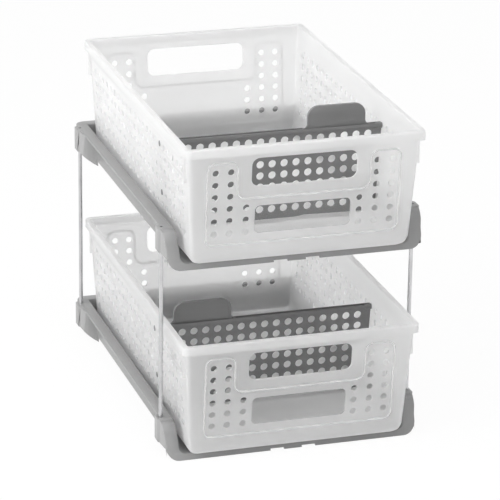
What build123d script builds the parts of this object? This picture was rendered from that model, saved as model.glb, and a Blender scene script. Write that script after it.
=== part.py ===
from build123d import *
from math import cos, radians, sin, tan
import os

# Two-tier pull-out cabinet basket, in millimetres. Two moulded trays stand on each
# other on four steel rods. Each tray carries a perforated basket that slides forward
# over the tray's open front, and each basket holds a divider by pegs in its sides.
# X is the width, Y the depth (the front faces -Y) and Z is up. The origin is on the
# surface that the object stands on, at the middle of its width and depth.

# rounded corners follow their radius in a few flats, which keeps the model light
corner_flats = 2
wide_corner_flats = 3
gusset_flats = 4

# tray
tray_width = 255.0          # over the flanges
tray_depth = 362.0          # from the lip at the bottom of the front to the back flange
tray_height = 36.0
flange_width = 11.5         # at the sides
back_flange_width = 12.0
flange_thick = 2.0
flange_corner = 10.0        # back corners, in plan
tray_wall = 2.0
tray_draft = 1.5            # how far each wall leans in, from its top to the floor
floor_level = 6.0           # top of the floor
floor_thick = 2.0
tray_edge = 7.0             # inside radius where the walls meet the floor
tray_bevel = 5.3            # the same edge from outside
band_corner = 13.0          # lower outside corners of the front band
sweep_radius = 16.0         # where the flange turns down into the front band
sweep_angle = 72.0
foot_inset = 17.0           # ring under the floor that the tray stands on
foot_thick = 2.0
seam_width = 2.5            # upright rib in the middle of the back wall
seam_proud = 0.8
lip_notch_width = 46.0
lip_notch_height = 1.8
lip_tab_width = 18.0

# sockets and posts
tier_pitch = 196.0
post_diameter = 4.0
post_clearance = 0.15       # radial
post_overhang = 10.5        # from the tray wall's inner face to the post's axis
post_front = 28.0           # behind the lip
post_back = 21.0            # ahead of the back flange's outer edge
socket_height = 24.0
socket_length = 18.0
socket_proud = 4.5          # outside the post's axis
socket_corner = 3.5
bore_sides = 10
socket_floor = 2.0          # web under the rods in the lower tray
socket_neck = 4.0           # web over the rods in the upper tray
neck_diameter = 3.0
gusset_length = 25.0        # ahead of the socket
gusset_drop = 8.0           # below the socket, at the tray's wall
gusset_inset = 1.5          # behind the socket's outer face

# basket
basket_width = 230.0        # outside of the walls, at the top
basket_depth = 373.0
basket_height = 120.5
basket_lean_side = 6.5      # how far each side wall leans in over the height
basket_lean_end = 10.5
basket_wall = 2.0
basket_corner = 8.0         # outside radius of the upright corners
basket_edge = 12.0          # outside radius of the bottom edges
basket_bevel = 5.9          # the same edge from inside
rim_overhang_side = 4.0
rim_overhang_end = 4.5
rim_height = 8.5
rim_thick = 2.0
rim_corner = 12.0
bead_proud = 2.4            # second step of the rim, along the sides
bead_height = 13.0
ear_drop = 35.0             # stacking ears under the rim
ear_proud = 3.4
ear_thick = 2.0
ear_inset = 14.0            # from the rim's end
slot_width = 104.0          # hand hold in the front and back walls
slot_height = 28.5
slot_radius = 7.5
slot_level = 92.3           # centre above the basket's underside
window_width = 95.0
window_height = 28.0
window_radius = 5.0
window_level = 43.8
window_depth = 0.8
hole_diameter = 6.5
hole_sides = 6
hole_rows = 6
hole_pitch = 12.4           # between rows
hole_top_row = 94.2         # above the basket's underside
hole_columns_full = [87.2, 72.1]
hole_column_short = 56.1
hole_rows_short = 3
side_pitch = 15.2           # between the columns of holes in the side walls

# how the baskets sit and slide
seat_gap = 0.3
back_gap = 5.9              # basket to the tray's back wall, at the top of the tray

# divider
divider_thick = 2.0
divider_foot = 7.7          # lower edge above the basket's underside
divider_gap = 0.4           # to the side walls
divider_corner = 14.0
divider_rise = 2.8          # top edge above the upper pegs' axis
ledge_depth = 6.4           # stiffening ledge along the top, with a groove in it
ledge_thick = 3.2
groove_width = 4.4
groove_depth = 2.0
grille_diameter = 8.0
grille_sides = 6
grille_columns = 17
grille_rows = 7
grille_pitch_x = 12.2
grille_pitch_z = 11.5
tab_width = 59.0
tab_height = 22.0
tab_radius = 11.0
tab_flare = 5.0
tab_inset = 12.0            # from the divider's end to the tab's flare
tab_border = 2.2
tab_border_proud = 1.0
peg_diameter = 5.7
peg_sides = 8
peg_proud = 2.5
peg_root = 6.0
peg_rows = [0, 4]           # rows of side holes that take the pegs
upper_divider_column = 5    # columns ahead of the basket's middle, less a half
lower_divider_column = 4

# worked out from the sizes above
inner_width = tray_width - 2 * flange_width
post_x = inner_width / 2 + post_overhang
basket_level = floor_level + seat_gap
rim_depth = basket_depth + 2 * rim_overhang_end
rim_width = basket_width + 2 * rim_overhang_side
depth_in_tray = basket_depth - 2 * basket_lean_end * (1 - (tray_height - basket_level) / basket_height)
overall_depth = back_flange_width + back_gap + depth_in_tray / 2 + rim_depth / 2
tray_back = overall_depth / 2
tray_front = tray_back - tray_depth
wall_back = tray_back - back_flange_width
basket_middle = rim_depth / 2 - overall_depth / 2
post_rows = [tray_front + post_front, tray_back - post_back]
post_low = tray_height - socket_height + socket_floor
post_length = tier_pitch + tray_height - socket_neck - post_low


def block(x0, x1, y0, y1, z0, z1):
    # box between two opposite corners
    size = (x1 - x0, y1 - y0, z1 - z0)
    return Pos((x0 + x1) / 2, (y0 + y1) / 2, (z0 + z1) / 2) * Box(*size)


def flat_corners(width, height, radius, flats=corner_flats):
    # rectangle whose corners follow a radius in flats
    step = radians(90 / (flats + 1))
    reach = radius / cos(step / 2)
    corner = [(reach * cos(step * (i + 0.5)), reach * sin(step * (i + 0.5))) for i in range(flats + 1)]
    x0, y0 = width / 2 - radius, height / 2 - radius
    points = [(x0 + x, y0 + y) for x, y in corner] + [(-x0 - x, y0 + y) for x, y in corner[::-1]]
    points += [(-x0 - x, -y0 - y) for x, y in corner] + [(x0 + x, -y0 - y) for x, y in corner[::-1]]
    return make_face(Polyline(*points, close=True))


def leaning_profile(near, far, lean, low, high, soften, amount):
    # one view of a bin: two leaning walls, joined to the floor by a radius or a bevel
    shape = make_face(Polyline(
        (near, high), (near + lean, low), (far - lean, low), (far, high), close=True,
    ))
    return soften(shape.vertices().group_by(Axis.Y)[0], amount)


def bin_solid(half_width, front, back, lean_side, lean_end, low, high, soften, amount):
    # walls that lean outwards and round into the floor; the widths are at the top
    reach = 2 * (back - front)
    across = leaning_profile(-half_width, half_width, lean_side, low, high, soften, amount)
    along = leaning_profile(front, back, lean_end, low, high, soften, amount)
    solid = extrude(Plane.XZ * across, reach, both=True)
    return solid & extrude(Plane.YZ * along, reach, both=True)


def rounded_plate(width, depth, low, high, radius):
    # level plate or ring blank with rounded corners in plan
    return extrude(Pos(0, 0, low) * flat_corners(width, depth, radius, wide_corner_flats), high - low)


def wall_profile(width, height, radius, level, flats):
    # rounded opening in the plane of the front wall, driven right through the basket
    outline = Pos(0, level) * flat_corners(width, height, radius, flats)
    return extrude(Plane.XZ * outline, basket_depth, both=True)


def bore(x, y, low, high, diameter):
    # upright hole with flats that clear the diameter
    outline = RegularPolygon(diameter / 2, bore_sides, major_radius=False)
    return extrude(Pos(x, y, low) * outline, high - low)


# ---------------------------------------------------------------- tray
def side_profile(inset, back, low):
    # the tray seen from its side: level top, sweep and leaning front band, moved inwards by inset
    centre_z = tray_height - sweep_radius
    turn = radians(sweep_angle)
    sweep_end = centre_z + sweep_radius * cos(turn)
    sweep_y = tray_front + sweep_radius * sin(turn) + sweep_end / tan(turn)
    top = Line((back, tray_height - inset), (sweep_y, tray_height - inset))
    sweep = CenterArc((sweep_y, centre_z), sweep_radius - inset, 90, sweep_angle)
    band_run = ((sweep @ 1).Y - low) / tan(turn)
    band = Line(sweep @ 1, ((sweep @ 1).X - band_run, low))
    rest = Polyline(band @ 1, (back, low), (back, tray_height - inset))
    return make_face([top, sweep, band, rest])


def tray_cavity():
    # the hollow that the basket slides in, open at the top and the front
    return bin_solid(
        inner_width / 2, tray_front - tray_depth / 4, wall_back, tray_draft, tray_draft,
        floor_level, tray_height, fillet, tray_edge,
    )


def tray_pan():
    # floor and walls, cut to the front's profile
    shell = bin_solid(
        inner_width / 2 + tray_wall, tray_front - tray_depth / 4, wall_back + tray_wall,
        tray_draft, tray_draft, floor_level - floor_thick, tray_height, chamfer, tray_bevel,
    )
    return shell & extrude(Plane.YZ * side_profile(0, tray_back, 0), tray_width, both=True)


def tray_flange():
    # the flange along the sides and back, which turns down into the front band and the lip
    outside = side_profile(0, tray_back, 0)
    inside = side_profile(flange_thick, tray_back + flange_thick, -flange_thick)
    flange = extrude(Plane.YZ * (outside - inside), tray_width / 2, both=True)
    back_edges = flange.edges().filter_by(Axis.Z).group_by(Axis.Y)[-1]
    flange = fillet(back_edges, flange_corner)
    front_view = Pos(0, tray_height) * Rectangle(tray_width, 2 * tray_height)
    front_view = fillet(front_view.vertices().group_by(Axis.Y)[0], band_corner)
    return flange & extrude(Plane.XZ * front_view, 2 * tray_depth, both=True)


def tray_foot():
    # ring under the floor, which the tray stands on together with its lip
    width = inner_width - 2 * foot_inset
    back = wall_back - foot_inset
    front = tray_front + flange_thick
    ring = block(-width / 2, width / 2, front, back, 0, floor_level - floor_thick / 2)
    hollow = block(
        -width / 2 + foot_thick, width / 2 - foot_thick, front - foot_thick, back - foot_thick,
        -floor_thick, floor_level - floor_thick,
    )
    return ring - hollow


def socket(side, y):
    # boss for a post, with a gusset that runs forward, down and in to the foot of the wall
    low = tray_height - socket_height
    under_flange = tray_height - flange_thick / 2
    inner = inner_width / 2
    reach = post_overhang + socket_proud
    outline = Pos(inner + reach / 2, y) * Rectangle(reach, socket_length)
    outline = chamfer(outline.vertices().group_by(Axis.X)[-1], socket_corner)
    boss = extrude(Pos(0, 0, low) * outline, socket_height)

    near = y - socket_length / 2
    far = y + socket_length / 2 - socket_corner
    width = reach - gusset_inset
    turns = [radians(90 * i / gusset_flats) for i in range(gusset_flats + 1)]
    belly = [(inner + width * sin(turn), near - gusset_length * cos(turn)) for turn in turns]
    plan = make_face(Polyline(*belly, (inner + width, far), (inner, far), close=True))
    gusset = extrude(Pos(0, 0, low - gusset_drop) * plan, under_flange - low + gusset_drop)
    below = Polyline(
        (inner, low - gusset_drop), (inner + width, low), (inner + width, low - gusset_drop), close=True,
    )
    gusset -= extrude(Plane.XZ * make_face(below), tray_depth, both=True)
    gusset &= extrude(Plane.YZ * side_profile(0, tray_back, 0), tray_width)
    return boss + gusset if side > 0 else mirror(boss + gusset, Plane.YZ)


def post_hole(side, y, upper):
    # the lower tray's sockets have a floor, and the upper tray's have a neck over the rod
    width = post_diameter + 2 * post_clearance
    if not upper:
        return bore(side * post_x, y, post_low, tray_height + socket_floor, width)
    low = tray_height - socket_height - gusset_drop
    hole = bore(side * post_x, y, low, tray_height - socket_neck, width)
    return hole + bore(side * post_x, y, low, tray_height + socket_neck, neck_diameter)


def tray(upper):
    solid = tray_pan() + tray_flange()
    places = [(side, y) for side in (-1, 1) for y in post_rows]
    for side, y in places:
        solid += socket(side, y)
    solid -= tray_cavity()
    solid += tray_foot()
    solid += block(
        -seam_width / 2, seam_width / 2, wall_back - tray_draft - seam_proud, wall_back + tray_wall / 2,
        floor_level - floor_thick / 2, tray_height,
    )
    for side, y in places:
        solid -= post_hole(side, y, upper)
    for side in (-1, 1):
        inner, outer = sorted((side * lip_tab_width / 2, side * lip_notch_width / 2))
        solid -= block(
            inner, outer, tray_front - flange_thick, tray_front + foot_thick + flange_thick,
            -lip_notch_height, lip_notch_height,
        )
    return solid


# ---------------------------------------------------------------- basket, stood on z = 0 at y = 0
def basket_solid(inset, low, soften, amount):
    # the basket's form, moved inwards by inset: leaning walls, trimmed to its upright corners
    share = 1 - low / basket_height
    width, depth = basket_width - 2 * inset, basket_depth - 2 * inset
    lean_side, lean_end = basket_lean_side * share, basket_lean_end * share
    solid = bin_solid(
        width / 2, -depth / 2, depth / 2, lean_side, lean_end, low, basket_height, soften, amount,
    )
    radius = basket_corner - inset
    top = flat_corners(width, depth, radius, wide_corner_flats)
    foot = flat_corners(width - 2 * lean_side, depth - 2 * lean_end, radius, wide_corner_flats)
    return solid & loft([Pos(0, 0, low) * foot, Pos(0, 0, basket_height) * top], ruled=True)


def basket_rim():
    # flat rim with its skirt turned down, and the second step along the sides
    under = basket_height - rim_height
    step = basket_height - bead_height
    rim = rounded_plate(rim_width, rim_depth, under, basket_height, rim_corner)
    rim -= rounded_plate(
        rim_width - 2 * rim_thick, rim_depth - 2 * rim_thick, under,
        basket_height - rim_thick, rim_corner - rim_thick,
    )
    run = basket_depth / 2 - ear_inset - ear_thick
    outer = basket_width / 2 + bead_proud
    for side in (-1, 1):
        x0, x1 = sorted((side * (basket_width / 2 - basket_wall), side * outer))
        rim += block(x0, x1, -run, run, step, basket_height - rim_thick / 2)
        for end in (-1, 1):
            y = end * (rim_depth / 2 - ear_inset)
            x2, x3 = sorted((side * (basket_width / 2 - basket_lean_side / 2 - basket_wall / 2),
                             side * (basket_width / 2 + ear_proud - basket_wall)))
            rim += block(x2, x3, y - ear_thick / 2, y + ear_thick / 2,
                         basket_height - ear_drop, basket_height - rim_thick / 2)
    return rim


def hole_places():
    # centres of the round holes in the front and back walls
    rows = [hole_top_row - i * hole_pitch for i in range(hole_rows)]
    places = [(x, z) for x in hole_columns_full for z in rows]
    places += [(hole_column_short, z) for z in rows[-hole_rows_short:]]
    return [(side * x, z) for side in (-1, 1) for x, z in places]


def half_width_at(z):
    # outside of the basket's side wall at a height above its underside
    return basket_width / 2 - basket_lean_side * (1 - z / basket_height)


def peg_places(column):
    y = -(column + 0.5) * side_pitch
    return [(y, hole_top_row - row * hole_pitch) for row in peg_rows]


def basket(column):
    solid = basket_solid(0, 0, fillet, basket_edge) + basket_rim()
    solid -= basket_solid(basket_wall, basket_wall, chamfer, basket_bevel)
    window = wall_profile(window_width, window_height, window_radius, window_level, corner_flats)
    solid -= window - basket_solid(window_depth, 0, fillet, basket_edge)
    solid -= wall_profile(slot_width, slot_height, slot_radius, slot_level, corner_flats + 1)
    drill = [Pos(x, z) * RegularPolygon(hole_diameter / 2, hole_sides) for x, z in hole_places()]
    solid -= extrude(Plane.XZ * Sketch(children=drill), basket_depth, both=True)
    pegs = [Pos(y, z) * RegularPolygon(hole_diameter / 2, peg_sides, major_radius=False)
            for y, z in peg_places(column)]
    solid -= extrude(Plane.YZ * Sketch(children=pegs), basket_width, both=True)
    return solid


# ---------------------------------------------------------------- divider, at the basket's origin
def divider(column):
    top = hole_top_row + divider_rise
    wall = basket_wall + divider_gap
    half_top = half_width_at(top) - wall
    half_low = half_width_at(divider_foot) - wall
    panel = make_face(Polyline(
        (-half_low, divider_foot), (half_low, divider_foot), (half_top, top), (-half_top, top), close=True,
    ))
    panel = fillet(panel.vertices().group_by(Axis.Y)[0], divider_corner)
    tab_middle = half_top - tab_inset - tab_flare - tab_width / 2
    tab_foot = top - groove_depth
    tab_size = tab_height + groove_depth

    def tab_shape(border):
        full = flat_corners(
            tab_width - 2 * border, 2 * (tab_size - border), tab_radius - border, wide_corner_flats,
        )
        upper = Rectangle(tab_width, tab_size, align=(Align.CENTER, Align.MIN))
        return Pos(tab_middle, tab_foot) * (full & upper)

    flare = Pos(tab_middle, top) * make_face(Polyline(
        (-tab_width / 2 - tab_flare, 0), (-tab_width / 2, tab_flare), (tab_width / 2, tab_flare),
        (tab_width / 2 + tab_flare, 0), (0, -groove_depth), close=True,
    ))

    solid = extrude(Plane.XZ * panel, divider_thick / 2, both=True)
    solid += block(-half_top, half_top, -ledge_depth / 2, ledge_depth / 2, top - ledge_thick, top)
    solid -= block(-half_top, half_top, -groove_width / 2, groove_width / 2, tab_foot, top)
    solid += extrude(Plane.XZ * (tab_shape(0) + flare), divider_thick / 2, both=True)

    # raised border round the tab
    border = tab_shape(0) - tab_shape(tab_border)
    face = Plane.XZ.offset(-divider_thick / 2)
    solid += extrude(face * border, -tab_border_proud)

    middle = (divider_foot + top) / 2
    grille = Pos(0, middle) * GridLocations(grille_pitch_x, grille_pitch_z, grille_columns, grille_rows)
    mesh = [place * RegularPolygon(grille_diameter / 2, grille_sides) for place in grille]
    solid -= extrude(Plane.XZ * Sketch(children=mesh), divider_thick, both=True)

    for y, z in peg_places(column):
        root = half_width_at(z) - wall - peg_root
        tip = half_width_at(z) + peg_proud
        peg = Plane.YZ * (Pos(0, z) * RegularPolygon(peg_diameter / 2, peg_sides))
        solid += extrude(Pos(root, 0, 0) * peg, tip - root)
        solid += extrude(Pos(-root, 0, 0) * peg, root - tip)
    return solid


def main():
    os.makedirs("parts", exist_ok=True)
    nodes = {}
    for name, level, upper in (("lower", 0.0, False), ("upper", tier_pitch, True)):
        column = upper_divider_column if upper else lower_divider_column
        seat = Pos(0, basket_middle, level + basket_level)
        turn = Rot(0, 0, 0) if upper else Rot(0, 0, 180)
        divider_y = peg_places(column)[0][0]
        nodes[name + "_frame"] = Pos(0, 0, level) * tray(upper)
        nodes[name + "_basket"] = seat * basket(column)
        nodes[name + "_divider"] = seat * Pos(0, divider_y, 0) * turn * divider(column)
    for end, y in zip(("front", "back"), post_rows):
        for side, x in (("left", -post_x), ("right", post_x)):
            rod = Cylinder(post_diameter / 2, post_length, align=(Align.CENTER, Align.CENTER, Align.MIN))
            nodes["post_" + end + "_" + side] = Pos(x, y, post_low) * rod
    for name, shape in nodes.items():
        export_step(shape, "parts/" + name + ".step")
        print(name, "volume", round(shape.volume), "mm3")


main()
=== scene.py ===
import bpy, bmesh, math
from mathutils import Matrix, Vector


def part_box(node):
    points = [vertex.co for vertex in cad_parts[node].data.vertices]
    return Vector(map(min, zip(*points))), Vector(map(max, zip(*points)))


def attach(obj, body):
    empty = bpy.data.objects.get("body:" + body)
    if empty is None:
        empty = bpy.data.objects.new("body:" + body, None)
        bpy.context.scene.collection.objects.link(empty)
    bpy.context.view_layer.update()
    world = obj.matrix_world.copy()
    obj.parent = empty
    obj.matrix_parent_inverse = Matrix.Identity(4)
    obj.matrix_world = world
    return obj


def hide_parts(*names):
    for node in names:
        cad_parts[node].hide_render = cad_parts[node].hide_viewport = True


# Two-tier pull-out cabinet basket. The posts stay as the CAD has them. The trays are copies
# with softened edges. The frosted baskets and the dark dividers are modelled again with every
# hole, the window panels and the rounded corners.

mm = 0.001
near = 0.01 * mm  # heights closer than this count as the same
smooth, sharp = math.radians(35), math.radians(50)  # edges flatter or steeper than these
tiers = ("lower", "upper")
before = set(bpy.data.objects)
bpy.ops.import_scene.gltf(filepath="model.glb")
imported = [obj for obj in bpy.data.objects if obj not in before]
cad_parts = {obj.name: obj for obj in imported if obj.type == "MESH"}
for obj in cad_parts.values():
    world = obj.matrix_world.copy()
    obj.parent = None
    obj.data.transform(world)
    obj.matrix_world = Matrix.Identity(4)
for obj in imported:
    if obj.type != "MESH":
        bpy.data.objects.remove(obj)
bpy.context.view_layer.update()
bpy.ops.object.select_all(action="DESELECT")
print("frame loaded", sorted(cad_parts))


def clearSelection():
    if bpy.context.object and bpy.context.object.mode != "OBJECT":
        bpy.ops.object.mode_set(mode="OBJECT")
    bpy.ops.object.select_all(action="DESELECT")


def activate(obj):
    clearSelection()
    obj.select_set(True)
    bpy.context.view_layer.objects.active = obj


def enterEdit(obj, mode):
    activate(obj)
    bpy.ops.object.mode_set(mode="EDIT")
    bpy.ops.mesh.select_mode(type=mode)
    bpy.ops.mesh.select_all(action="DESELECT")


def pick(obj, kind, test):
    # selects the faces or edges that pass a test on place and normal
    mesh = bmesh.from_edit_mesh(obj.data)
    bpy.ops.mesh.select_all(action="DESELECT")
    for item in getattr(mesh, kind):
        if test(item):
            item.select_set(True)
    mesh.select_flush_mode()
    bmesh.update_edit_mesh(obj.data)


def leaveEdit(obj):
    bpy.ops.object.mode_set(mode="OBJECT")
    obj.select_set(False)


def bakePlace(obj):
    activate(obj)
    bpy.ops.object.transform_apply(location=True, rotation=True, scale=True)
    clearSelection()


def applyModifier(obj, kind, **settings):
    activate(obj)
    mod = obj.modifiers.new(kind.lower(), kind)
    for key, value in settings.items():
        setattr(mod, key, value)
    bpy.ops.object.modifier_apply(modifier=mod.name)
    clearSelection()


def roundNormals(obj):
    activate(obj)
    bpy.ops.object.shade_smooth_by_angle(angle=smooth)
    clearSelection()


def softenEdges(obj, width, **settings):
    # a narrow bevel on every sharp edge
    applyModifier(obj, "BEVEL", width=width * mm, segments=2, limit_method="ANGLE",
                  angle_limit=sharp, **settings)


def joinAll(objs, name):
    activate(objs[0])
    for other in objs[1:]:
        other.select_set(True)
    bpy.ops.object.join()
    objs[0].name = name
    clearSelection()
    return objs[0]


def copyOf(obj, name, offset=(0, 0, 0)):
    new = obj.copy()
    new.data = obj.data.copy()
    new.name = name
    bpy.context.collection.objects.link(new)
    new.data.transform(Matrix.Translation(offset))
    return new


def removeObject(obj):
    bpy.data.objects.remove(obj, do_unlink=True)


def cutWith(obj, cutter):
    applyModifier(obj, "BOOLEAN", operation="DIFFERENCE", solver="EXACT", object=cutter)
    removeObject(cutter)


def weldTo(obj, other):
    applyModifier(obj, "BOOLEAN", operation="UNION", solver="EXACT", object=other)
    removeObject(other)


def facesUp(face):
    return face.normal.z > 0.9


def runsAlong(edge, axis):
    return abs((edge.verts[0].co - edge.verts[1].co).normalized()[axis]) > 0.9


def addBlock(name, low, high):
    # a box between two corners, with its place in its mesh
    clearSelection()
    middle = [(a + b) / 2 for a, b in zip(low, high)]
    bpy.ops.mesh.primitive_cube_add(size=1, location=middle)
    block = bpy.context.object
    block.name = name
    block.scale = [b - a for a, b in zip(low, high)]
    bakePlace(block)
    return block


def roundedBlock(name, low, high, axis, radius, steps=8, test=None):
    # a box whose edges along one axis are rounded, or those of them that pass a test
    block = addBlock(name, low, high)
    enterEdit(block, "EDGE")
    pick(block, "edges", lambda e: runsAlong(e, axis) and (test is None or test(e)))
    bpy.ops.mesh.bevel(offset=radius, segments=steps, affect="EDGES")
    leaveEdit(block)
    return block


def spreadTop(form, timesX, timesY):
    # scales the top face, so that the sides lean
    enterEdit(form, "FACE")
    pick(form, "faces", facesUp)
    bpy.ops.transform.resize(value=(timesX, timesY, 1), center_override=(0, 0, 0))
    leaveEdit(form)


def drillSet(name, places, radius, length, axis, sides):
    # one drill bit, copied to every hole's place and joined to one cutter
    clearSelection()
    turns = {"X": (0, math.pi / 2, 0), "Y": (math.pi / 2, 0, 0)}
    bpy.ops.mesh.primitive_cylinder_add(
        vertices=sides, radius=radius, depth=length, rotation=turns[axis])
    bit = bpy.context.object
    bakePlace(bit)
    bits = [copyOf(bit, name, place) for place in places]
    removeObject(bit)
    return joinAll(bits, name)


def feed(tree, slot, value):
    if isinstance(value, Sock):
        tree.links.new(value.socket, slot)
    else:
        slot.default_value = value


def addNode(tree, kind, settings=None, out=0, inputs=(), **named):
    # one node: its settings first, then values or links for its sockets, in order or by name
    new = tree.nodes.new("ShaderNode" + kind)
    for key, value in (settings or {}).items():
        if key == "stops":
            for stop, (place, colour) in zip(new.color_ramp.elements, value):
                stop.position = place
                stop.color = (*colour, 1)
        else:
            setattr(new, key, value)
    for slot, value in zip(new.inputs, inputs):
        feed(tree, slot, value)
    for key, value in named.items():
        feed(tree, new.inputs[key.replace("_", " ")], value)
    return Sock(tree, new.outputs[out])


class Sock:
    # wraps a socket, so that shader sums read like sums
    def __init__(self, tree, socket):
        self.tree, self.socket = tree, socket

    def beside(self, name):
        # another output of the same node
        return Sock(self.tree, self.socket.node.outputs[name])

    def math(self, operation, *others):
        return addNode(self.tree, "Math", {"operation": operation}, inputs=(self, *others))

    def __add__(self, other):
        return self.math("ADD", other)

    def __sub__(self, other):
        return self.math("SUBTRACT", other)

    def __rsub__(self, other):
        return addNode(self.tree, "Math", {"operation": "SUBTRACT"}, inputs=(other, self))

    def __mul__(self, other):
        return self.math("MULTIPLY", other)

    def __lt__(self, other):
        return self.math("LESS_THAN", other)

    def __gt__(self, other):
        return self.math("GREATER_THAN", other)

    def __abs__(self):
        return self.math("ABSOLUTE")

    __radd__ = __add__
    __rmul__ = __mul__


class Finish:
    # a material with one Principled shader and any nodes that feed it
    def __init__(self, name, **constants):
        self.material = bpy.data.materials.new(name)
        self.material.use_nodes = True
        self.tree = self.material.node_tree
        self.shader = self.tree.nodes["Principled BSDF"]
        self.link(**constants)
        self.where = self.node("TexCoord", out="Object")

    def node(self, kind, *settings, **values):
        return addNode(self.tree, kind, *settings, **values)

    def link(self, **sockets):
        for key, value in sockets.items():
            feed(self.tree, self.shader.inputs[key.replace("_", " ")], value)
        return self.material

    def axes(self):
        x = self.node("SeparateXYZ", Vector=self.where)
        return x, x.beside("Y"), x.beside("Z")

    def noise(self, scale, detail=3, roughness=0.5, stretch=None):
        where = self.where
        if stretch:
            where = self.node("Mapping", Vector=where, Scale=stretch)
        return self.node("TexNoise", Vector=where, Scale=scale, Detail=detail, Roughness=roughness)

    def tone(self, pattern, dark, light, margin=0.3):
        # dark where the pattern is low, light where it is high
        stops = ((margin, dark), (1 - margin, light))
        return self.node("ValToRGB", {"stops": stops}, inputs=(pattern,))

    def bump(self, height, strength, distance):
        return self.node("Bump", Height=height, Strength=strength, Distance=distance)

    def blendWith(self, factor, other):
        # lays another shader over what the surface shows, as far as the factor says
        surface = self.tree.nodes["Material Output"].inputs["Surface"]
        shown = Sock(self.tree, surface.links[0].from_socket)
        feed(self.tree, surface, self.node("MixShader", inputs=(factor, shown, other)))


def grey(level):
    return (level,) * 3


# frosted plastic of the baskets, its hazier floor, its clear window and its whiter ribs
frost = {
    "light": 0.985, "dark": 0.965, "roughness": 0.34, "transmission": 0.74, "bend": 1.32,
    "shine": 0.4, "glow": 0.24, "cloudScale": 18, "cloudRough": 0.08, "grainScale": 900,
    "grain": 0.12, "grainDepth": 0.4,
    "floorHaze": 0.45, "floorThick": 4.0, "floorRoughness": 0.45,
    "windowTone": 0.98, "windowRoughness": 0.04, "windowBend": 1.3, "windowFrom": 120.0,
    "ribDark": 0.975, "ribTransmission": 0.55, "ribShine": 0.6, "ribRoughness": 0.2,
    "ribCloudScale": 40, "ribCloudRough": 0.1,
}


def windowMask(finish, look, middle, base):
    # 1 inside the rounded window of the front wall
    x, y, z = finish.axes()
    corner = look["windowRadius"] * mm
    level = base + look["windowLevel"] * mm
    across = (abs(x) - (look["windowHalfX"] * mm - corner)).math("MAXIMUM", 0.0)
    up = (abs(z - level) - (look["windowHalfZ"] * mm - corner)).math("MAXIMUM", 0.0)
    inShape = (across * across + up * up).math("SQRT") < corner
    return inShape * (y < middle - frost["windowFrom"] * mm)


def frostedPlastic(name, look, middle, base):
    # milky and translucent, hazier at the floor, clear and smooth in the front window
    finish = Finish(name, IOR=frost["bend"], Transmission_Weight=frost["transmission"],
                    Specular_IOR_Level=frost["shine"])
    cloud = finish.noise(frost["cloudScale"])
    grain = finish.noise(frost["grainScale"], 2)
    tone = finish.tone(cloud, grey(frost["dark"]), grey(frost["light"]))
    finish.link(
        Base_Color=tone,
        Roughness=cloud * frost["cloudRough"] + (frost["roughness"] - frost["cloudRough"] / 2),
        Normal=finish.bump(grain, frost["grain"], frost["grainDepth"] * mm))
    evenTone = (frost["dark"] + frost["light"]) / 2
    milk = finish.node("BsdfTranslucent", Color=(*grey(evenTone), 1))
    finish.blendWith(frost["glow"], milk)
    z = finish.axes()[2]
    haze = finish.node("BsdfPrincipled", Base_Color=tone, Roughness=frost["floorRoughness"])
    finish.blendWith((z < base + frost["floorThick"] * mm) * frost["floorHaze"], haze)
    clear = finish.node(
        "BsdfPrincipled", Base_Color=(*grey(frost["windowTone"]), 1),
        Roughness=frost["windowRoughness"], IOR=frost["windowBend"], Transmission_Weight=1.0)
    finish.blendWith(windowMask(finish, look, middle, base), clear)
    return finish.material


def ribPlastic(name):
    # the same plastic where it is thicker, so whiter and glossier
    finish = Finish(name, IOR=frost["bend"], Transmission_Weight=frost["ribTransmission"],
                    Specular_IOR_Level=frost["ribShine"])
    cloud = finish.noise(frost["ribCloudScale"])
    tone = finish.tone(cloud, grey(frost["ribDark"]), grey(frost["light"]))
    return finish.link(
        Base_Color=tone, Roughness=cloud * frost["ribCloudRough"] + frost["ribRoughness"])


# satin grey plastic of the trays and dividers
mould = {
    "shine": 0.45, "cloudScale": 22, "cloudShare": 0.6, "cloudRough": 0.14,
    "flowScale": 3, "flowStretch": (4, 60, 40), "toneMargin": 0.25,
    "grainScale": 1400, "grainRough": 0.1, "grain": 0.18, "grainDepth": 0.3,
}


def mouldedPlastic(name, look):
    # fine spark texture, faint flow marks and cloudiness
    finish = Finish(name, Specular_IOR_Level=mould["shine"])
    cloud = finish.noise(mould["cloudScale"], 4)
    flow = finish.noise(mould["flowScale"], stretch=mould["flowStretch"])
    grain = finish.noise(mould["grainScale"], 2, 0.6)
    pattern = cloud * mould["cloudShare"] + flow * (1 - mould["cloudShare"])
    rough = cloud * mould["cloudRough"] + grain * mould["grainRough"]
    least = look["roughness"] - (mould["cloudRough"] + mould["grainRough"]) / 2
    return finish.link(
        Base_Color=finish.tone(
            pattern, grey(look["dark"]), grey(look["light"]), mould["toneMargin"]),
        Roughness=rough + least, Normal=finish.bump(grain, mould["grain"], mould["grainDepth"] * mm))


# plated steel rods
postLook = {
    "dark": (0.56, 0.56, 0.57), "light": (0.66, 0.66, 0.67), "roughness": 0.12,
    "lineStretch": (900, 900, 6), "lineRough": 0.08, "lines": 0.08, "lineDepth": 0.2,
    "smearScale": 60, "smearRough": 0.06,
}


def platedSteel(name, look):
    # faint lengthwise draw lines and slight smears
    finish = Finish(name, Metallic=1.0)
    lines = finish.noise(1, 2, stretch=look["lineStretch"])
    smear = finish.noise(look["smearScale"])
    return finish.link(
        Base_Color=finish.tone(smear, look["dark"], look["light"]),
        Roughness=lines * look["lineRough"] + smear * look["smearRough"] + look["roughness"],
        Normal=finish.bump(lines, look["lines"], look["lineDepth"] * mm))


def paint(piece, material):
    piece.data.materials.clear()
    piece.data.materials.append(material)


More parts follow.
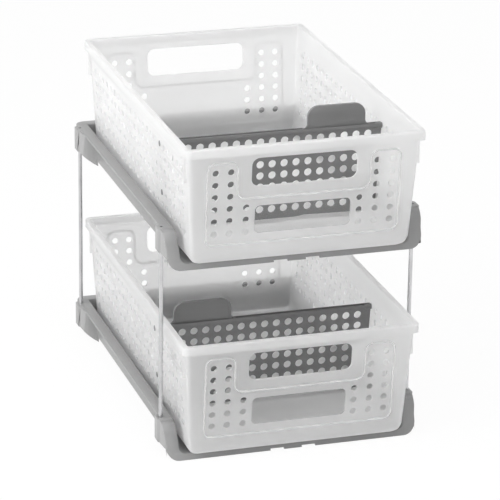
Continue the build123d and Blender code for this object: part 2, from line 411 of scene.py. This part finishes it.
def finishPiece(piece, node, body):
    # the piece stands for its CAD node and moves with its body
    roundNormals(piece)
    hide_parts(node)
    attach(piece, body)
    print(piece.name, "polygons", len(piece.data.polygons))


# basket, in mm above its underside and from its middle
basketLook = {
    "topHalfX": 115.0, "topHalfY": 186.5, "leanX": 6.5, "leanY": 10.5, "height": 120.5,
    "wall": 2.0, "uprightRadius": 4.5, "edgeRadius": 12.0, "topEdge": 0.8, "soften": 0.35,
    "overTop": 5.0, "cornerSteps": 8,
    "rimHalfX": 119.0, "rimHalfY": 191.0, "rimHeight": 8.5, "rimThick": 2.0, "rimCorner": 7.0,
    "rimSoften": 1.1, "rimSteps": 3, "beadProud": 2.4, "beadHeight": 13.0,
    "earDrop": 35.0, "earProud": 3.4, "earThick": 2.0, "earInset": 14.0,
    "slotHalfX": 52.0, "slotHalfZ": 14.25, "slotRadius": 7.5, "slotLevel": 92.3,
    "slotReach": 300.0,
    "windowHalfX": 47.5, "windowHalfZ": 14.0, "windowRadius": 5.0, "windowLevel": 43.8,
    "windowDepth": 0.8, "windowSteps": 6, "pocketReach": 4.0,
    "holeRadius": 3.25, "holeSides": 18, "holeRows": 6, "holePitch": 12.4, "holeTopRow": 94.2,
    "endColumns": (87.2, 72.1), "shortColumn": 56.1, "shortRows": 3, "endDrill": 500.0,
    "sideColumns": 22, "sidePitch": 15.2, "sideDrill": 300.0,
    "outlineHalf": 96.0, "outlineNotch": 65.0, "outlineTop": 105.2, "outlineNotchLevel": 67.4,
    "outlineBottom": 19.9, "outlineRadius": 8.0, "outlineBead": 1.5, "outlineProud": 0.6,
    "outlineRoot": 0.6, "outlineSteps": 6, "outlineFlat": 2,
}


def binForm(name, look, inset, low, high):
    # the basket's form, moved inwards by inset: leaning walls, rounded uprights and bottom
    def halfSizes(z):
        share = 1 - z / look["height"]
        return [(look["topHalf" + way] - look["lean" + way] * share - inset) * mm for way in "XY"]
    lowX, lowY = halfSizes(low)
    highX, highY = halfSizes(high)
    form = addBlock(name, (-lowX, -lowY, low * mm), (lowX, lowY, high * mm))
    spreadTop(form, highX / lowX, highY / lowY)
    weights = form.data.attributes.new("bevel_weight_edge", "FLOAT", "EDGE")
    upright, bottom = look["uprightRadius"] - inset, look["edgeRadius"] - inset
    for edge, weight in zip(form.data.edges, weights.data):
        heights = [form.data.vertices[i].co.z for i in edge.vertices]
        if abs(heights[0] - heights[1]) > mm:
            weight.value = upright / bottom
        elif heights[0] < (low + high) / 2 * mm:
            weight.value = 1.0
    applyModifier(form, "BEVEL", width=bottom * mm, segments=look["cornerSteps"],
                  limit_method="WEIGHT")
    return form


def extrudeUp(height):
    bpy.ops.mesh.extrude_region_move(TRANSFORM_OT_translate={"value": (0, 0, height)})


def innerForm(look):
    # what the basket's hollow takes away, flared at the top to break the inner edge
    form = binForm("hollow", look, look["wall"], look["wall"], look["height"] - look["topEdge"])
    enterEdit(form, "FACE")
    pick(form, "faces", lambda f: facesUp(f) and f.calc_center_median().z > look["height"] / 2 * mm)
    flare = [1 + look["topEdge"] / look["topHalf" + way] for way in "XY"]
    extrudeUp(look["topEdge"] * mm)
    bpy.ops.transform.resize(value=(*flare, 1), center_override=(0, 0, 0))
    extrudeUp(look["overTop"] * mm)
    leaveEdit(form)
    return form


def rimForm(look):
    # flat rim with softened top edges and its skirt turned down
    top = look["height"] * mm
    under = top - look["rimHeight"] * mm
    halfX, halfY, thick = look["rimHalfX"] * mm, look["rimHalfY"] * mm, look["rimThick"] * mm
    rim = roundedBlock(
        "rim", (-halfX, -halfY, under), (halfX, halfY, top), 2, look["rimCorner"] * mm)
    enterEdit(rim, "EDGE")
    pick(rim, "edges", lambda e: all(v.co.z > top - near for v in e.verts))
    bpy.ops.mesh.bevel(offset=look["rimSoften"] * mm, segments=look["rimSteps"], affect="EDGES")
    leaveEdit(rim)
    cutWith(rim, roundedBlock(
        "rimHollow", (thick - halfX, thick - halfY, under - thick),
        (halfX - thick, halfY - thick, top - thick), 2,
        (look["rimCorner"] - look["rimThick"]) * mm))
    return rim


def sideBeadsAndEars(look):
    # second step of the rim along each side, and the stacking ears near the corners
    top = look["height"] * mm
    inRim = top - look["rimThick"] / 2 * mm
    run = (look["topHalfY"] - look["earInset"] - look["earThick"]) * mm
    beadIn = (look["topHalfX"] - look["wall"] / 2) * mm
    beadOut = (look["topHalfX"] + look["beadProud"]) * mm
    earIn = (look["topHalfX"] - look["leanX"] / 2 - look["wall"] / 2) * mm
    earOut = (look["topHalfX"] + look["earProud"] - look["wall"]) * mm
    half = look["earThick"] / 2 * mm
    parts = []
    for side in (-1, 1):
        x0, x1 = sorted((side * beadIn, side * beadOut))
        parts.append(addBlock(
            "bead", (x0, -run, top - look["beadHeight"] * mm), (x1, run, inRim)))
        for end in (-1, 1):
            y = end * (look["rimHalfY"] - look["earInset"]) * mm
            x0, x1 = sorted((side * earIn, side * earOut))
            parts.append(addBlock(
                "ear", (x0, y - half, top - look["earDrop"] * mm), (x1, y + half, inRim)))
    return joinAll(parts, "beadsAndEars")


def endLean(look):
    return math.atan(look["leanY"] / look["height"])


def outlineBead(look, end):
    # thin raised line round the holes, shaped like a U, laid on the leaning wall
    half, notch = look["outlineHalf"] * mm, look["outlineNotch"] * mm
    top, bottom = look["outlineTop"] * mm, look["outlineBottom"] * mm
    level = look["outlineNotchLevel"] * mm
    thick = (look["outlineProud"] + look["outlineRoot"]) * mm
    clearSelection()
    bpy.ops.mesh.primitive_plane_add(size=1, rotation=(math.pi / 2, 0, 0))
    bead = bpy.context.object
    bead.scale = (2 * half, level - bottom, 1)
    bead.location = (0, 0, (level + bottom) / 2)
    bakePlace(bead)
    enterEdit(bead, "EDGE")
    for x in (-notch, notch):
        bpy.ops.mesh.select_all(action="SELECT")
        bpy.ops.mesh.bisect(plane_co=(x, 0, 0), plane_no=(1, 0, 0))
    # the two arms rise from the ends of the top edge
    pick(bead, "edges", lambda e: all(abs(v.co.z - level) < near for v in e.verts)
         and abs(e.verts[0].co.x + e.verts[1].co.x) > 2 * notch)
    extrudeUp(top - level)
    bpy.ops.mesh.select_mode(type="VERT")
    bpy.ops.mesh.select_all(action="SELECT")
    bpy.ops.mesh.dissolve_limited(angle_limit=math.radians(look["outlineFlat"]))
    bpy.ops.mesh.select_all(action="SELECT")
    bpy.ops.mesh.bevel(
        offset=look["outlineRadius"] * mm, segments=look["outlineSteps"], affect="VERTICES")
    # only a narrow band along the edge stays, and gets its thickness
    bpy.ops.mesh.select_mode(type="FACE")
    bpy.ops.mesh.select_all(action="SELECT")
    bpy.ops.mesh.inset(thickness=look["outlineBead"] * mm, use_even_offset=True)
    bpy.ops.mesh.delete(type="FACE")
    bpy.ops.mesh.select_all(action="SELECT")
    bpy.ops.mesh.extrude_region_move(TRANSFORM_OT_translate={"value": (0, thick, 0)})
    bpy.ops.mesh.select_all(action="SELECT")
    bpy.ops.mesh.normals_make_consistent(inside=False)
    leaveEdit(bead)
    bead.rotation_euler = (endLean(look), 0, 0 if end < 0 else math.pi)
    foot = look["topHalfY"] - look["leanY"] + look["outlineProud"]
    bead.location = (0, end * foot * mm, 0)
    bakePlace(bead)
    return bead


def windowPockets(look):
    # shallow pockets outside the windows, leaning with the wall
    reach = look["pocketReach"] * mm
    halfX, halfZ = look["windowHalfX"] * mm, look["windowHalfZ"] * mm
    wallAt = look["topHalfY"] - look["leanY"] * (1 - look["windowLevel"] / look["height"])
    depth = (wallAt - look["windowDepth"]) * mm + reach
    pockets = []
    for end in (-1, 1):
        pocket = roundedBlock(
            "pocket", (-halfX, -reach, -halfZ), (halfX, reach, halfZ), 1,
            look["windowRadius"] * mm, look["windowSteps"])
        pocket.rotation_euler = (-end * endLean(look), 0, 0)
        pocket.location = (0, end * depth, look["windowLevel"] * mm)
        bakePlace(pocket)
        pockets.append(pocket)
    return joinAll(pockets, "pockets")


def handSlot(look):
    halfX, reach = look["slotHalfX"] * mm, look["slotReach"] * mm
    low = (look["slotLevel"] - look["slotHalfZ"]) * mm
    high = (look["slotLevel"] + look["slotHalfZ"]) * mm
    return roundedBlock(
        "slot", (-halfX, -reach, low), (halfX, reach, high), 1, look["slotRadius"] * mm)


def basketHoles(look):
    rows = [(look["holeTopRow"] - i * look["holePitch"]) * mm for i in range(look["holeRows"])]
    ends = [(x * mm, z) for x in look["endColumns"] for z in rows]
    ends += [(look["shortColumn"] * mm, z) for z in rows[-look["shortRows"]:]]
    endPlaces = [(side * x, 0, z) for side in (-1, 1) for x, z in ends]
    half = (look["sideColumns"] - 1) / 2
    columns = [(i - half) * look["sidePitch"] * mm for i in range(look["sideColumns"])]
    sidePlaces = [(0, y, z) for y in columns for z in rows]
    radius, sides = look["holeRadius"] * mm, look["holeSides"]
    return (drillSet("sideDrill", sidePlaces, radius, look["sideDrill"] * mm, "X", sides),
            drillSet("endDrill", endPlaces, radius, look["endDrill"] * mm, "Y", sides))


def basketForm(look):
    # one basket on z = 0, made once and copied to both tiers
    form = binForm("basketForm", look, 0, 0, look["height"] - look["rimThick"] / 2)
    weldTo(form, rimForm(look))
    weldTo(form, sideBeadsAndEars(look))
    cutWith(form, innerForm(look))
    cutWith(form, handSlot(look))
    softenEdges(form, look["soften"], miter_outer="MITER_ARC")
    cutWith(form, windowPockets(look))
    for drill in basketHoles(look):
        cutWith(form, drill)
    paint(form, bpy.data.materials.new("basketWall"))
    beads = joinAll([outlineBead(look, end) for end in (-1, 1)], "outlines")
    paint(beads, ribPlastic("basketRib"))
    return joinAll([form, beads], "basketForm")


def placeBaskets(look):
    form = basketForm(look)
    for tier in tiers:
        node = tier + "_basket"
        low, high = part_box(node)
        middle, base = (low[1] + high[1]) / 2, low[2]
        basket = copyOf(form, node + "Look", (0, middle, base))
        basket.data.materials[0] = frostedPlastic(node + "Frost", look, middle, base)
        finishPiece(basket, node, node)
    removeObject(form)


# divider, in mm above the basket's underside and from the divider's middle
dividerLook = {
    "light": 0.2, "dark": 0.175, "roughness": 0.36,
    "thick": 2.0, "foot": 7.7, "top": 97.0, "wallAndGap": 2.4, "cornerRadius": 14.0,
    "cornerSteps": 10, "soften": 0.4,
    "holeRadius": 4.0, "holeSides": 20, "columns": 17, "rows": 7, "pitchX": 12.2,
    "pitchZ": 11.5, "drill": 50.0,
    "ledgeDepth": 6.4, "ledgeThick": 3.2, "underLedge": 0.5, "grooveWidth": 4.4,
    "grooveDepth": 2.0,
    "tabWidth": 59.0, "tabHeight": 22.0, "tabRadius": 11.0, "tabSteps": 8, "tabInset": 12.0,
    "tabFlare": 5.0, "flareSides": 32, "borderWidth": 2.2, "borderProud": 1.0,
    "pegRadius": 2.85, "pegSides": 20, "pegProud": 2.5, "pegRoot": 6.0, "pegRows": (0, 4),
    "turned": ("lower",),
}


def tabPlate(look, middle, border, back, front):
    # the tab, or the tab less its border, between two depths
    foot = (look["top"] - look["grooveDepth"]) * mm
    top = (look["top"] + look["tabHeight"] - border) * mm
    half = (look["tabWidth"] / 2 - border) * mm
    return roundedBlock(
        "tab", (middle - half, back, foot), (middle + half, front, top), 1,
        (look["tabRadius"] - border) * mm, look["tabSteps"],
        lambda e: e.verts[0].co.z > top - mm)


def dividerTab(look, middle):
    # the tab with curved shoulders at its foot and a raised border on one side
    thick, top, flare = look["thick"] * mm, look["top"] * mm, look["tabFlare"] * mm
    half = look["tabWidth"] / 2 * mm
    tab = tabPlate(look, middle, 0, -thick / 2, thick / 2)
    foot = addBlock(
        "flare", (middle - half - flare, -thick / 2, top - look["grooveDepth"] * mm),
        (middle + half + flare, thick / 2, top + flare))
    hollows = [(middle + side * (half + flare), 0, top + flare) for side in (-1, 1)]
    cutWith(foot, drillSet("flareHollow", hollows, flare, 3 * thick, "Y", look["flareSides"]))
    weldTo(tab, foot)
    border = tabPlate(look, middle, 0, thick / 4, thick / 2 + look["borderProud"] * mm)
    cutWith(border, tabPlate(look, middle, look["borderWidth"], 0, thick))
    weldTo(tab, border)
    return tab


def grilleHoles(look):
    halfColumns, halfRows = (look["columns"] - 1) / 2, (look["rows"] - 1) / 2
    middle = (look["foot"] + look["top"]) / 2
    columns = [(i - halfColumns) * look["pitchX"] * mm for i in range(look["columns"])]
    rows = [(middle + (i - halfRows) * look["pitchZ"]) * mm for i in range(look["rows"])]
    places = [(x, 0, z) for x in columns for z in rows]
    return drillSet(
        "grille", places, look["holeRadius"] * mm, look["drill"] * mm, "Y", look["holeSides"])


def dividerForm(look, basket):
    # perforated panel with a grooved ledge, a tab with a raised border, and four pegs
    def halfAt(z):
        lean = basket["leanX"] * (1 - z / basket["height"])
        return (basket["topHalfX"] - lean - look["wallAndGap"]) * mm
    foot, top, thick = look["foot"] * mm, look["top"] * mm, look["thick"] * mm
    halfLow, halfTop = halfAt(look["foot"]), halfAt(look["top"])
    panel = addBlock(
        "dividerForm", (-halfLow, -thick / 2, foot),
        (halfLow, thick / 2, top - look["underLedge"] * mm))
    spreadTop(panel, halfTop / halfLow, 1)
    enterEdit(panel, "EDGE")
    pick(panel, "edges", lambda e: runsAlong(e, 1) and e.verts[0].co.z < foot + mm)
    bpy.ops.mesh.bevel(
        offset=look["cornerRadius"] * mm, segments=look["cornerSteps"], affect="EDGES")
    leaveEdit(panel)
    ledge, groove = look["ledgeDepth"] / 2 * mm, look["grooveWidth"] / 2 * mm
    weldTo(panel, addBlock(
        "ledge", (-halfTop, -ledge, top - look["ledgeThick"] * mm), (halfTop, ledge, top)))
    cutWith(panel, addBlock(
        "groove", (-halfTop - thick, -groove, top - look["grooveDepth"] * mm),
        (halfTop + thick, groove, top + thick)))
    tabFromEnd = look["tabInset"] + look["tabFlare"] + look["tabWidth"] / 2
    weldTo(panel, dividerTab(look, halfTop - tabFromEnd * mm))
    length = (look["pegRoot"] + look["pegProud"]) * mm
    for row in look["pegRows"]:
        level = basket["holeTopRow"] - row * basket["holePitch"]
        reach = halfAt(level) + look["pegProud"] * mm
        places = [(side * (reach - length / 2), 0, level * mm) for side in (-1, 1)]
        weldTo(panel, drillSet(
            "peg", places, look["pegRadius"] * mm, length, "X", look["pegSides"]))
    softenEdges(panel, look["soften"])
    cutWith(panel, grilleHoles(look))
    return panel


def placeDividers(look, basket, material):
    form = dividerForm(look, basket)
    for tier in tiers:
        node = tier + "_divider"
        low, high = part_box(node)
        turn = math.pi if tier in look["turned"] else 0
        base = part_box(tier + "_basket")[0][2]
        place = Matrix.Translation((0, (low[1] + high[1]) / 2, base))
        divider = copyOf(form, node + "Look")
        divider.data.transform(place @ Matrix.Rotation(turn, 4, "Z"))
        paint(divider, material)
        finishPiece(divider, node, tier + "_basket")
    removeObject(form)


# tray: its grey, and which of its sharp edges are softened to catch the light
trayLook = {
    "light": 0.29, "dark": 0.262, "roughness": 0.34,
    "soften": 0.6, "nearTop": 0.05, "halfX": 127.5, "sideFrom": 1.0, "frontReach": 14.0,
    "frontFrom": 3.0, "postReach": 3.5, "merge": 0.001, "flat": 1,
}


def lightEdge(edge, look, low, top, posts):
    # outer edges of the flange, the sides and the front, clear of the posts
    if len(edge.link_faces) != 2 or edge.calc_face_angle(0) < sharp:
        return False
    ends = [v.co for v in edge.verts]
    postReach = look["postReach"] * mm
    if any((Vector(p.xy) - Vector(post.xy)).length < postReach for p in ends for post in posts):
        return False
    outside = (look["halfX"] - look["nearTop"]) * mm
    front = low[1] + look["frontReach"] * mm
    sideFrom, frontFrom = low[2] + look["sideFrom"] * mm, low[2] + look["frontFrom"] * mm
    return (all(abs(p.z - top) < look["nearTop"] * mm for p in ends)
            or all(abs(p.x) > outside and p.z > sideFrom for p in ends)
            or all(p.y < front and p.z > frontFrom for p in ends))


def placeTrays(look, material):
    # a copy of each CAD tray, merged, with its outer edges softened
    corners = ("front_left", "front_right", "back_left", "back_right")
    boxes = [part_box("post_" + corner) for corner in corners]
    posts = [(a + b) / 2 for a, b in boxes]
    for tier in tiers:
        node = tier + "_frame"
        low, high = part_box(node)
        tray = copyOf(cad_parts[node], node + "Look")
        tray.parent = None
        tray.matrix_world = Matrix.Identity(4)
        enterEdit(tray, "VERT")
        bpy.ops.mesh.select_all(action="SELECT")
        bpy.ops.mesh.remove_doubles(threshold=look["merge"] * mm)
        bpy.ops.mesh.dissolve_limited(angle_limit=math.radians(look["flat"]))
        bpy.ops.mesh.select_mode(type="EDGE")
        pick(tray, "edges", lambda e: lightEdge(e, look, low, high[2], posts))
        bpy.ops.mesh.bevel(
            offset=look["soften"] * mm, segments=2, affect="EDGES", clamp_overlap=False)
        leaveEdit(tray)
        paint(tray, material)
        finishPiece(tray, node, "frame")


# lights in watts, and how strongly the background lights the object
studioLook = {
    "ambient": 0.58, "floorSize": 12, "floorDark": 0.96, "floorLight": 0.97, "floorGlow": 0.94,
    "floorRoughness": 0.9, "floorCloudScale": 2,
    "lamps": (("left", (-2.2, -0.5, 1.0), 1.8, 52.0), ("top", (-0.2, -0.8, 2.3), 1.4, 17.0)),
    "aim": (0, 0, 0.15),
}

cameraLook = {
    "azimuth": 17.54, "elevation": 20.3, "roll": 0.84, "distance": 3.026,
    "lens": 215.6, "sensor": 36, "reach": 50, "target": (0.0061, 0.0, 0.1454),
}


def seenRays(tree):
    # 1 for the rays that show the background itself
    straight = addNode(tree, "LightPath", out="Is Camera Ray")
    mirrored = straight.beside("Is Glossy Ray")
    return straight.math("MAXIMUM", mirrored).math(
        "MAXIMUM", straight.beside("Is Transmission Ray"))


def whiteFloor(look):
    # keeps the shadow and shows as white as the background
    clearSelection()
    bpy.ops.mesh.primitive_plane_add(size=look["floorSize"], location=(0, 0, 0))
    floor = bpy.context.object
    floor.name = "studioFloor"
    finish = Finish("studioFloor", Roughness=look["floorRoughness"], Specular_IOR_Level=0.0)
    cloud = finish.noise(look["floorCloudScale"])
    finish.link(Base_Color=finish.tone(cloud, grey(look["floorDark"]), grey(look["floorLight"])))
    glow = finish.node("Emission", Strength=1.0)
    finish.blendWith(seenRays(finish.tree) * look["floorGlow"], glow)
    floor.data.materials.append(finish.material)


def whiteSurroundings(look):
    world = bpy.data.worlds.new("studio")
    world.use_nodes = True
    tree = world.node_tree
    background = tree.nodes["Background"]
    background.inputs["Color"].default_value = (1, 1, 1, 1)
    level = seenRays(tree) * (1 - look["ambient"]) + look["ambient"]
    feed(tree, background.inputs["Strength"], level)
    bpy.context.scene.world = world


def softBoxes(look):
    for name, place, size, power in look["lamps"]:
        light = bpy.data.lights.new(name, "AREA")
        light.size, light.energy = size, power
        lamp = bpy.data.objects.new(name, light)
        lamp.location = place
        towards = Vector(look["aim"]) - Vector(place)
        lamp.rotation_euler = towards.to_track_quat("-Z", "Y").to_euler()
        bpy.context.collection.objects.link(lamp)


def placeCamera(look):
    turn, rise, roll = (math.radians(look[key]) for key in ("azimuth", "elevation", "roll"))
    back = Vector((-math.sin(turn) * math.cos(rise), -math.cos(turn) * math.cos(rise),
                   math.sin(rise)))
    data = bpy.data.cameras.new("camera")
    data.lens, data.sensor_width, data.clip_end = look["lens"], look["sensor"], look["reach"]
    camera = bpy.data.objects.new("camera", data)
    bpy.context.collection.objects.link(camera)
    camera.location = Vector(look["target"]) + back * look["distance"]
    level = (-back).to_track_quat("-Z", "Y").to_matrix()
    camera.rotation_euler = (level @ Matrix.Rotation(roll, 3, "Z")).to_euler()
    bpy.context.scene.camera = camera


trayGrey = mouldedPlastic("trayGrey", trayLook)
dividerGrey = mouldedPlastic("dividerGrey", dividerLook)
steel = platedSteel("postSteel", postLook)
for node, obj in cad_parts.items():  # only the posts stay in sight
    finish = steel if node.startswith("post") else trayGrey
    if node.endswith("divider"):
        finish = dividerGrey
    for slot in obj.material_slots:
        slot.material = finish
print("finishes made")

placeTrays(trayLook, trayGrey)
placeBaskets(basketLook)
placeDividers(dividerLook, basketLook, dividerGrey)
whiteFloor(studioLook)
whiteSurroundings(studioLook)
softBoxes(studioLook)
placeCamera(cameraLook)
bpy.context.scene.view_settings.view_transform = "Standard"
print("studio and camera set")
